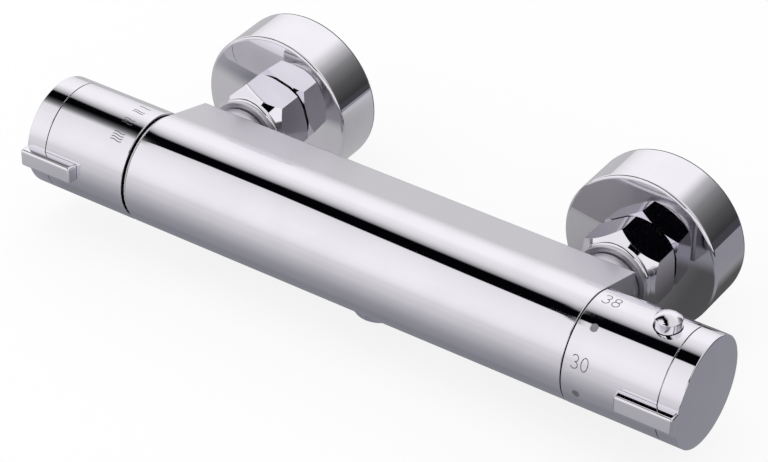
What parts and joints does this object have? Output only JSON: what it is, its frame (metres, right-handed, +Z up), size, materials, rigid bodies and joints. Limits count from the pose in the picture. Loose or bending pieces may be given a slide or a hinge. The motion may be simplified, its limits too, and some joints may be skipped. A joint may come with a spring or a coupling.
{
  "type": "thermostatic shower valve",
  "caption": "Bar shaped thermostatic shower valve with a flow handle, a temperature handle with safety button, union nuts and round wall covers.",
  "frame": {"origin": "wall plane midway between the two wall inlets", "axes": "+X along the bar towards the temperature handle, +Y into the wall, +Z up"},
  "size_m": [0.2604, 0.1099, 0.0588],
  "materials": {
    "body_chrome": "polished chrome plate",
    "nut_chrome": "polished chrome plate, light wrench wear",
    "escutcheon_chrome": "polished chrome plate",
    "handle_chrome": "polished chrome plate with engraved marks",
    "button_chrome": "polished chrome plate",
    "brass": "machined, bare",
    "spring_steel": "bright stainless",
    "rubber": "matte black rubber",
    "foam_rubber": "closed cell foam",
    "dark_plastic": "moulded, satin",
    "trim_plastic": "moulded, satin",
    "white_plastic": "moulded, satin",
    "ceramic": "lapped ceramic"
  },
  "bodies": {
    "fixed_valve": {"valve_body": "body_chrome", "outlet_nipple": "body_chrome", "hot_inlet_nipple": "brass", "cold_inlet_nipple": "brass", "hot_union_nut": "nut_chrome", "cold_union_nut": "nut_chrome", "hot_filter_washer": "rubber", "cold_filter_washer": "rubber", "hot_wall_union": "brass", "cold_wall_union": "brass", "hot_escutcheon": "escutcheon_chrome", "cold_escutcheon": "escutcheon_chrome", "hot_wall_seal": "foam_rubber", "cold_wall_seal": "foam_rubber", "hot_check_cage": "dark_plastic", "cold_check_cage": "dark_plastic", "hot_check_spring": "spring_steel", "cold_check_spring": "spring_steel", "cartridge_sleeve": "dark_plastic", "cartridge_oring_inner": "rubber", "cartridge_oring_middle": "rubber", "cartridge_oring_outer": "rubber", "cartridge_nut": "brass", "temperature_stop_ring": "dark_plastic", "return_spring": "spring_steel", "headwork_housing": "brass", "headwork_oring": "rubber", "headwork_nut": "brass", "disc_seal": "rubber", "fixed_disc": "ceramic", "flow_stop_ring": "dark_plastic", "flow_trim_ring": "trim_plastic"},
    "temperature_handle": {"temperature_spindle": "brass", "temperature_clip": "spring_steel", "temperature_insert": "dark_plastic", "temperature_screw": "spring_steel", "temperature_handle": "handle_chrome", "temperature_cap": "handle_chrome", "button_spring": "spring_steel"},
    "safety_button": {"safety_button": "button_chrome"},
    "thermostat": {"thermo_element": "brass", "mixing_shuttle": "white_plastic", "regulating_nut": "brass"},
    "flow_handle": {"moving_disc": "ceramic", "flow_spindle": "brass", "flow_clip": "spring_steel", "flow_insert": "dark_plastic", "flow_screw": "spring_steel", "flow_handle": "handle_chrome", "flow_cap": "handle_chrome"},
    "hot_check_valve": {"hot_check_poppet": "white_plastic"},
    "cold_check_valve": {"cold_check_poppet": "white_plastic"}
  },
  "joints": [
    {"name": "temperature_turn", "type": "hinge", "parent": "fixed_valve", "child": "temperature_handle", "pos_m": [0.109, -0.0725, 0.007], "axis": [1, 0, 0], "range_deg": [-150, 0]},
    {"name": "thermostat_shift", "type": "slide", "parent": "fixed_valve", "child": "thermostat", "axis": [1, 0, 0], "range_m": [-0.0013, 0], "deforming": ["return_spring"]},
    {"name": "safety_button_press", "type": "slide", "parent": "temperature_handle", "child": "safety_button", "axis": [0, 0, -1], "range_m": [0, 0.002], "stiffness_N_per_m": 1200, "springref_m": -0.0015, "deforming": ["button_spring"]},
    {"name": "flow_turn", "type": "hinge", "parent": "fixed_valve", "child": "flow_handle", "pos_m": [-0.109, -0.0725, 0.007], "axis": [1, 0, 0], "range_deg": [-90, 0]},
    {"name": "hot_check_lift", "type": "slide", "parent": "fixed_valve", "child": "hot_check_valve", "axis": [0, -1, 0], "range_m": [0, 0.0025], "stiffness_N_per_m": 150, "springref_m": -0.002, "deforming": ["hot_check_spring"]},
    {"name": "cold_check_lift", "type": "slide", "parent": "fixed_valve", "child": "cold_check_valve", "axis": [0, -1, 0], "range_m": [0, 0.0025], "stiffness_N_per_m": 150, "springref_m": -0.002, "deforming": ["cold_check_spring"]}
  ],
  "couplings": [
    {"joint": "thermostat_shift", "follows": "temperature_turn", "m_per_rad": 0.00047746}
  ]
}
